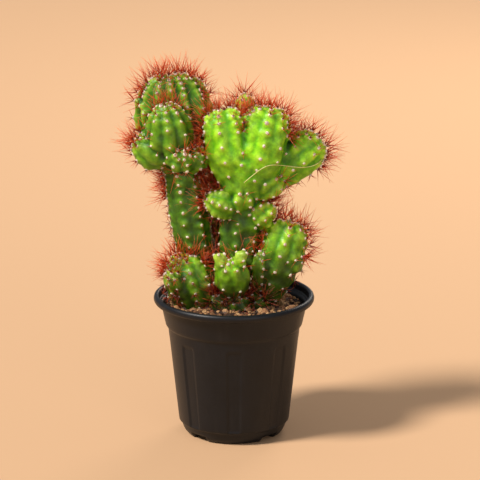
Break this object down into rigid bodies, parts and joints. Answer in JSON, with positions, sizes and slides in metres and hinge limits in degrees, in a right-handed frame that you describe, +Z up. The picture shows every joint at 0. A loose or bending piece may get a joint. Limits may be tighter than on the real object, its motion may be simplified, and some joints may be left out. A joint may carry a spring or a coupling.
{
  "type": "potted boxer cactus",
  "caption": "Monstrose columnar cactus, knobbly green ribbed stems with dense red-brown spines, rooted in gritty soil in a fluted black plastic nursery pot",
  "frame": {"origin": "the centre of the pot's flat underside, on the surface that the pot stands on", "axes": "+Z up; -Y towards the viewer, the side that the small front offset faces; +X to the viewer's right"},
  "size_m": [0.1461, 0.1094, 0.2577],
  "materials": {
    "black_polypropylene": "satin",
    "cactus_skin": "satin",
    "woody_crown": "matte",
    "red_spine": "satin",
    "gritty_soil": "matte",
    "pumice": "matte"
  },
  "bodies": {
    "root": {"pot": "black_polypropylene", "soil_mix": "gritty_soil", "root_crown": "woody_crown", "centre_stem": "cactus_skin", "left_stem": "cactus_skin", "back_stem": "cactus_skin", "right_stem": "cactus_skin", "left_offset": "cactus_skin", "front_offset": "cactus_skin", "spines_left_crest": "red_spine", "spines_left_front": "red_spine", "spines_left_side": "red_spine", "spines_centre_left": "red_spine", "spines_centre_right": "red_spine", "spines_centre_far": "red_spine", "spines_centre_knob": "red_spine", "spines_back_tip": "red_spine", "spines_back_side": "red_spine", "spines_back_low": "red_spine", "spines_right_arm": "red_spine", "spines_left_offset": "red_spine", "gravel_stone_1": "pumice", "gravel_stone_2": "pumice", "gravel_stone_3": "pumice", "gravel_stone_4": "pumice", "gravel_stone_5": "pumice", "gravel_stone_6": "pumice", "gravel_stone_7": "pumice", "gravel_stone_8": "pumice", "gravel_stone_9": "pumice"}
  },
  "joints": []
}
